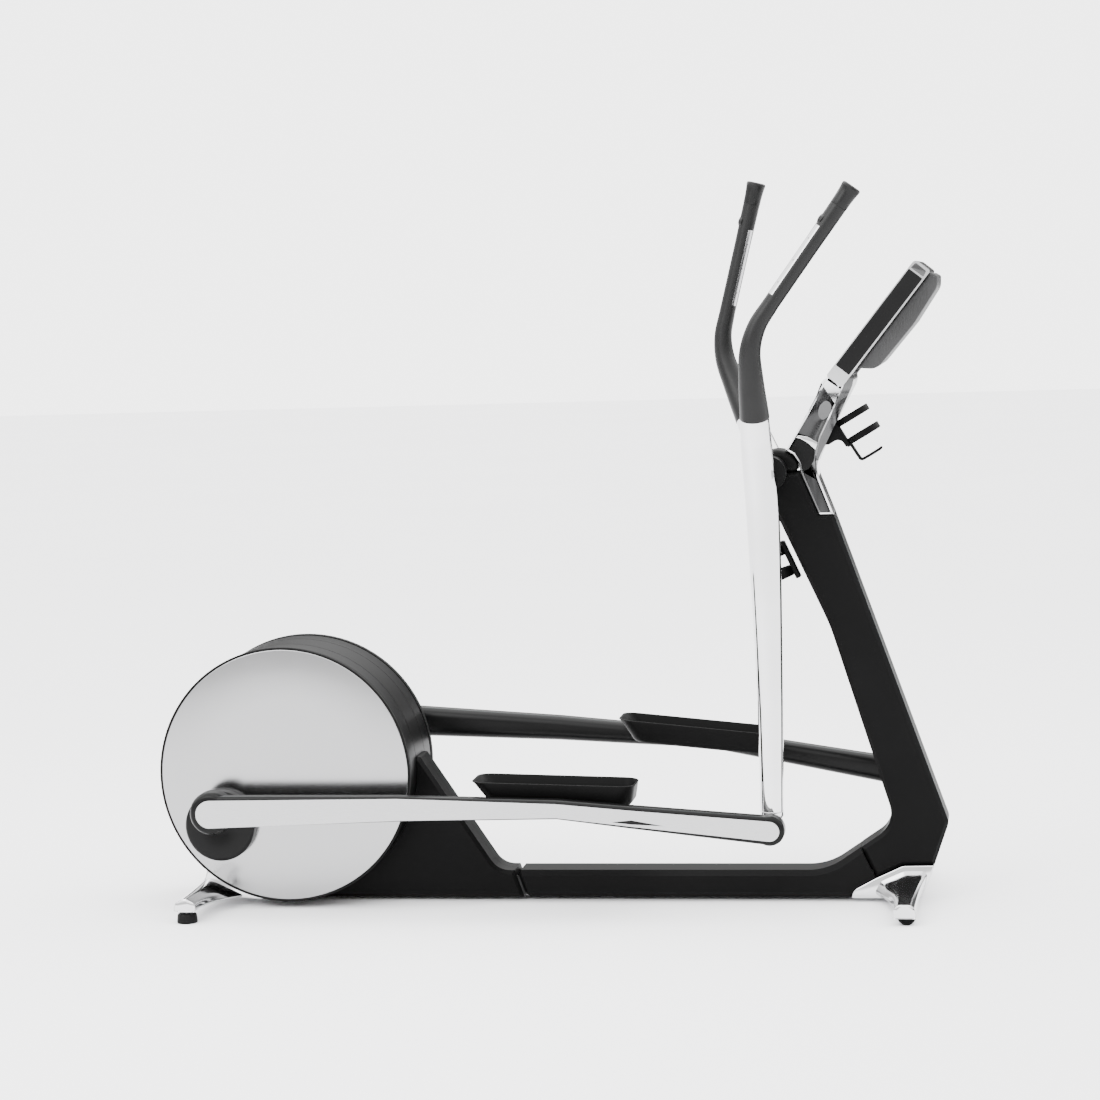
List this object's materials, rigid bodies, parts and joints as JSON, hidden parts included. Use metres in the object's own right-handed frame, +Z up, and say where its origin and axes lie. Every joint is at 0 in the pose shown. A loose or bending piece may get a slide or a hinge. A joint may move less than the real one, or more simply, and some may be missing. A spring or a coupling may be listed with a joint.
{
  "type": "elliptical trainer",
  "caption": "Elliptical trainer with driving discs on a rear drum, kinked pedal arms with open trays, swinging hand levers, a leaning column, bottle holders and a tilted console.",
  "frame": {"origin": "on the floor, at the middle of the machine's length and width", "axes": "+X towards the console, +Y to the user's left side, +Z up"},
  "size_m": [1.7757, 0.614, 1.6142],
  "materials": {
    "casing_black": "satin, fine grain",
    "frame_steel": "powder coated",
    "plain_steel": "turned",
    "magnet_grey": "satin",
    "belt_rubber": "ribbed",
    "polished_casting": "polished",
    "panel_black": "matte",
    "screen_gloss": "gloss",
    "shell_grey": "satin",
    "holder_black": "satin",
    "pad_rubber": "moulded",
    "disc_silver": "polished",
    "rim_black": "satin",
    "boss_black": "satin",
    "pulley_alloy": "turned",
    "flywheel_iron": "turned",
    "roller_black": "satin",
    "tube_chrome": "polished",
    "sleeve_black": "soft touch",
    "cap_black": "satin gloss",
    "sensor_steel": "brushed",
    "arm_black": "satin",
    "strip_steel": "brushed",
    "tray_black": "matte, fine grain",
    "button_black": "satin"
  },
  "bodies": {
    "frame": {"beam_cover": "casing_black", "base_beam": "frame_steel", "rear_panel_near": "casing_black", "rear_panel_far": "casing_black", "column_shell_near": "casing_black", "column_shell_far": "casing_black", "column_core": "frame_steel", "axle_cap": "casing_black", "drum_band": "casing_black", "drum_shell_near": "casing_black", "drum_shell_far": "casing_black", "drive_plates": "frame_steel", "crank_bearings": "plain_steel", "idler_bolt": "plain_steel", "brake_magnet": "magnet_grey", "drive_belt": "belt_rubber", "lever_axle": "plain_steel", "axle_covers": "casing_black", "stem": "polished_casting", "console_frame": "polished_casting", "console_side_panels": "panel_black", "screen": "screen_gloss", "console_rear_shell": "shell_grey", "front_holder": "holder_black", "rear_holder": "holder_black", "rear_foot": "polished_casting", "rear_pads": "pad_rubber", "pad_studs": "plain_steel", "front_foot": "polished_casting", "roller_axles": "plain_steel"},
    "crankset": {"crankshaft": "plain_steel", "drive_disc_near": "disc_silver", "drive_disc_far": "disc_silver", "disc_rims": "rim_black", "crank_bosses": "boss_black", "crank_pins": "plain_steel", "drive_pulley": "pulley_alloy"},
    "flywheel": {"flywheel": "flywheel_iron", "flywheel_shaft": "plain_steel"},
    "idler": {"belt_idler": "roller_black"},
    "lever_near": {"lever_tube_near": "tube_chrome", "lever_end_near": "tube_chrome", "grip_sleeve_near": "sleeve_black", "grip_cap_near": "cap_black", "hand_sensor_near": "sensor_steel"},
    "arm_near": {"pedal_arm_near": "arm_black", "arm_strip_near": "strip_steel", "pedal_near": "tray_black"},
    "button_near": {"grip_button_near": "button_black"},
    "roller_near": {"transport_roller_near": "roller_black"},
    "lever_far": {"lever_tube_far": "tube_chrome", "lever_end_far": "tube_chrome", "grip_sleeve_far": "sleeve_black", "grip_cap_far": "cap_black", "hand_sensor_far": "sensor_steel"},
    "arm_far": {"pedal_arm_far": "arm_black", "arm_strip_far": "strip_steel", "pedal_far": "tray_black"},
    "button_far": {"grip_button_far": "button_black"},
    "roller_far": {"transport_roller_far": "roller_black"}
  },
  "joints": [
    {"name": "crank", "type": "hinge", "parent": "frame", "child": "crankset", "pos_m": [-0.5979, 0, 0.306], "axis": [0, 1, 0], "continuous": true},
    {"name": "flywheel_spin", "type": "hinge", "parent": "frame", "child": "flywheel", "pos_m": [-0.4019, -0.024, 0.18], "axis": [0, 1, 0], "continuous": true},
    {"name": "idler_spin", "type": "hinge", "parent": "frame", "child": "idler", "pos_m": [-0.53878, 0.024, 0.1327], "axis": [0, 1, 0], "continuous": true},
    {"name": "lever_swing_near", "type": "hinge", "parent": "frame", "child": "lever_near", "pos_m": [0.5141, -0.155, 0.966], "axis": [0, -1, 0], "range_deg": [-1.62, 23.78]},
    {"name": "arm_swing_near", "type": "hinge", "parent": "lever_near", "child": "arm_near", "pos_m": [0.5044, -0.21, 0.19306], "axis": [0, -1, 0], "range_deg": [-28.27, 1.97]},
    {"name": "button_press_near", "type": "slide", "parent": "lever_near", "child": "button_near", "axis": [0.8036, 0, -0.5951], "range_m": [0, 0.0025], "stiffness_N_per_m": 600, "springref_m": -0.001},
    {"name": "roller_turn_near", "type": "hinge", "parent": "frame", "child": "roller_near", "pos_m": [0.7991, -0.284, 0.02], "axis": [0, 1, 0], "continuous": true},
    {"name": "lever_swing_far", "type": "hinge", "parent": "frame", "child": "lever_far", "pos_m": [0.5141, 0.155, 0.966], "axis": [0, -1, 0], "range_deg": [-23.78, 1.62]},
    {"name": "arm_swing_far", "type": "hinge", "parent": "lever_far", "child": "arm_far", "pos_m": [0.79417, 0.21, 0.24552], "axis": [0, -1, 0], "range_deg": [-1.97, 28.27]},
    {"name": "button_press_far", "type": "slide", "parent": "lever_far", "child": "button_far", "axis": [0.9679, 0, -0.2514], "range_m": [0, 0.0025], "stiffness_N_per_m": 600, "springref_m": -0.001},
    {"name": "roller_turn_far", "type": "hinge", "parent": "frame", "child": "roller_far", "pos_m": [0.7991, 0.284, 0.02], "axis": [0, 1, 0], "continuous": true}
  ],
  "couplings": [
    {"joint": "flywheel_spin", "follows": "crank", "ratio": 6},
    {"joint": "idler_spin", "follows": "crank", "ratio": -8.33},
    {"joint": "arm_swing_near", "follows": "lever_swing_near", "ratio": -1.1868},
    {"joint": "arm_swing_far", "follows": "lever_swing_near", "ratio": 1.1868},
    {"joint": "lever_swing_far", "follows": "lever_swing_near", "ratio": -1}
  ]
}
